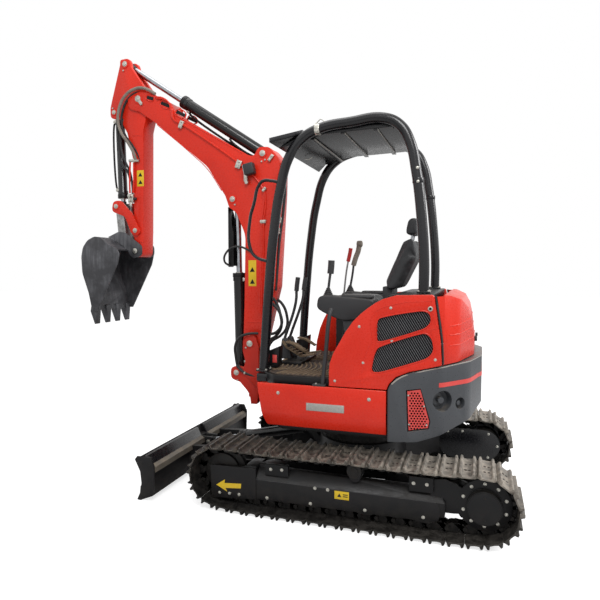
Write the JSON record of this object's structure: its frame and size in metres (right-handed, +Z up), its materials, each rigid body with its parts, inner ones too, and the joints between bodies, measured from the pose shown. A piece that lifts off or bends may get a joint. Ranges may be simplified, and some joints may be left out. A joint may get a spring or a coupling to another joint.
{
  "type": "compact tracked excavator",
  "caption": "Compact tracked excavator with an open canopy, dozer blade, swing post, boom, arm, linkage bucket and grey tail weight.",
  "frame": {"origin": "centre of the machine's outline, on the ground, with the blade down and the arm hanging", "axes": "+X forward towards the blade, +Y the operator's left, +Z up"},
  "size_m": [3.3402, 1.56, 3.2744],
  "materials": {
    "red_paint": "semi-gloss red enamel",
    "black_paint": "satin black enamel, dusty",
    "grey_paint": "satin dark grey over cast iron",
    "track_steel": "rolled steel with dry mud",
    "bare_steel": "grey primer over steel",
    "chrome": "hard chrome",
    "cast_metal": "as cast",
    "black_plastic": "grained",
    "floor_mat": "ribbed rubber, dusty brown",
    "seat_vinyl": "grained vinyl"
  },
  "bodies": {
    "undercarriage": {"left_track": "track_steel", "right_track": "track_steel", "left_track_frame": "black_paint", "right_track_frame": "black_paint", "left_sprocket": "black_paint", "right_sprocket": "black_paint", "left_idler": "black_paint", "right_idler": "black_paint", "car_body": "black_paint", "slew_ring": "track_steel"},
    "upper": {"upper_frame": "black_paint", "floor": "floor_mat", "left_skirt": "red_paint", "right_skirt": "red_paint", "counterweight": "grey_paint", "left_side_cover": "red_paint", "right_side_cover": "red_paint", "seat_bulkhead": "black_paint", "engine": "cast_metal", "left_canopy_hoop": "black_paint", "right_canopy_hoop": "black_paint", "canopy_roof": "black_paint", "seat_cushion": "seat_vinyl", "seat_back": "seat_vinyl", "seat_pedestal": "black_paint", "left_console": "black_plastic", "right_console": "black_plastic", "travel_levers": "black_plastic"},
    "rear_hood": {"rear_hood": "red_paint"},
    "swing_post": {"swing_post": "red_paint"},
    "boom": {"boom": "red_paint"},
    "boom_ram_barrel": {"boom_ram_barrel": "black_paint"},
    "boom_ram_rod": {"boom_ram_rod": "chrome"},
    "arm": {"arm": "red_paint"},
    "arm_ram_barrel": {"arm_ram_barrel": "black_paint"},
    "arm_ram_rod": {"arm_ram_rod": "chrome"},
    "bucket_ram_barrel": {"bucket_ram_barrel": "black_paint"},
    "bucket_ram_rod": {"bucket_ram_rod": "chrome"},
    "bucket_rocker": {"bucket_rocker": "red_paint"},
    "bucket_link": {"bucket_link": "bare_steel"},
    "bucket": {"bucket": "black_paint"},
    "blade": {"blade": "black_paint"},
    "blade_ram_barrel": {"blade_ram_barrel": "black_paint"},
    "blade_ram_rod": {"blade_ram_rod": "chrome"}
  },
  "joints": [
    {"name": "slew", "type": "hinge", "parent": "undercarriage", "child": "upper", "pos_m": [-0.598, 0, 0.49], "axis": [0, 0, 1], "continuous": true},
    {"name": "boom_swing", "type": "hinge", "parent": "upper", "child": "swing_post", "pos_m": [0.102, 0, 0.68], "axis": [0, 0, 1], "range_deg": [-50, 75]},
    {"name": "boom_lift", "type": "hinge", "parent": "swing_post", "child": "boom", "pos_m": [0.244, 0, 1.017], "axis": [0, 1, 0], "range_deg": [-3, 105]},
    {"name": "arm_reach", "type": "hinge", "parent": "boom", "child": "arm", "pos_m": [1.214, 0, 2.94], "axis": [0, -1, 0], "range_deg": [-18, 98]},
    {"name": "bucket_curl", "type": "hinge", "parent": "arm", "child": "bucket", "pos_m": [1.257, 0, 1.728], "axis": [0, 1, 0], "range_deg": [0, 165]},
    {"name": "blade_lift", "type": "hinge", "parent": "undercarriage", "child": "blade", "pos_m": [-0.038, 0, 0.215], "axis": [0, 1, 0], "range_deg": [-27, 23]},
    {"name": "rear_hood_hinge", "type": "hinge", "parent": "upper", "child": "rear_hood", "pos_m": [-1.164, 0, 1.415], "axis": [0, 1, 0], "range_deg": [0, 65]},
    {"name": "boom_ram_swing", "type": "hinge", "parent": "swing_post", "child": "boom_ram_barrel", "pos_m": [0.363, 0, 0.786], "axis": [0, 1, 0], "range_deg": [-3.38, 101.48]},
    {"name": "boom_ram_stroke", "type": "slide", "parent": "boom_ram_barrel", "child": "boom_ram_rod", "axis": [0.0211, 0, 0.9998], "range_m": [-0.4069, 0.0136]},
    {"name": "arm_ram_swing", "type": "hinge", "parent": "boom", "child": "arm_ram_barrel", "pos_m": [0.144, 0, 2.441], "axis": [0, 1, 0], "range_deg": [-4.62, 1.26]},
    {"name": "arm_ram_stroke", "type": "slide", "parent": "arm_ram_barrel", "child": "arm_ram_rod", "axis": [0.8347, 0, 0.5507], "range_m": [-0.4764, 0.0891]},
    {"name": "bucket_ram_swing", "type": "hinge", "parent": "arm", "child": "bucket_ram_barrel", "pos_m": [1.454, 0, 2.858], "axis": [0, 1, 0], "range_deg": [-0.5, 2.02]},
    {"name": "bucket_ram_stroke", "type": "slide", "parent": "bucket_ram_barrel", "child": "bucket_ram_rod", "axis": [-0.0288, 0, -0.9996], "range_m": [-0.002, 0.4353]},
    {"name": "blade_ram_swing", "type": "hinge", "parent": "undercarriage", "child": "blade_ram_barrel", "pos_m": [-0.178, 0, 0.384], "axis": [0, 1, 0], "range_deg": [-22.1, 18.9]},
    {"name": "blade_ram_stroke", "type": "slide", "parent": "blade_ram_barrel", "child": "blade_ram_rod", "axis": [0.9754, 0, -0.2202], "range_m": [-0.0655, 0.0561]},
    {"name": "rocker_swing", "type": "hinge", "parent": "arm", "child": "bucket_rocker", "pos_m": [1.254, 0, 1.894], "axis": [0, 1, 0], "range_deg": [-0.5, 108.81]},
    {"name": "link_swing", "type": "hinge", "parent": "bucket_rocker", "child": "bucket_link", "pos_m": [1.432, 0, 2.094], "axis": [0, 1, 0], "range_deg": [-45.55, 0.5]}
  ],
  "couplings": [
    {"joint": "boom_ram_swing", "follows": "boom_lift", "ratio": 0.9617},
    {"joint": "boom_ram_stroke", "follows": "boom_lift", "m_per_rad": -0.22095},
    {"joint": "arm_ram_swing", "follows": "arm_reach", "ratio": -0.042},
    {"joint": "arm_ram_stroke", "follows": "arm_reach", "m_per_rad": -0.27734},
    {"joint": "bucket_ram_swing", "follows": "bucket_curl", "ratio": 0.0092},
    {"joint": "bucket_ram_stroke", "follows": "bucket_curl", "m_per_rad": 0.15047},
    {"joint": "blade_ram_swing", "follows": "blade_lift", "ratio": 0.8},
    {"joint": "blade_ram_stroke", "follows": "blade_lift", "m_per_rad": 0.1347},
    {"joint": "rocker_swing", "follows": "bucket_curl", "ratio": 0.6564},
    {"joint": "link_swing", "follows": "bucket_curl", "ratio": -0.273}
  ]
}
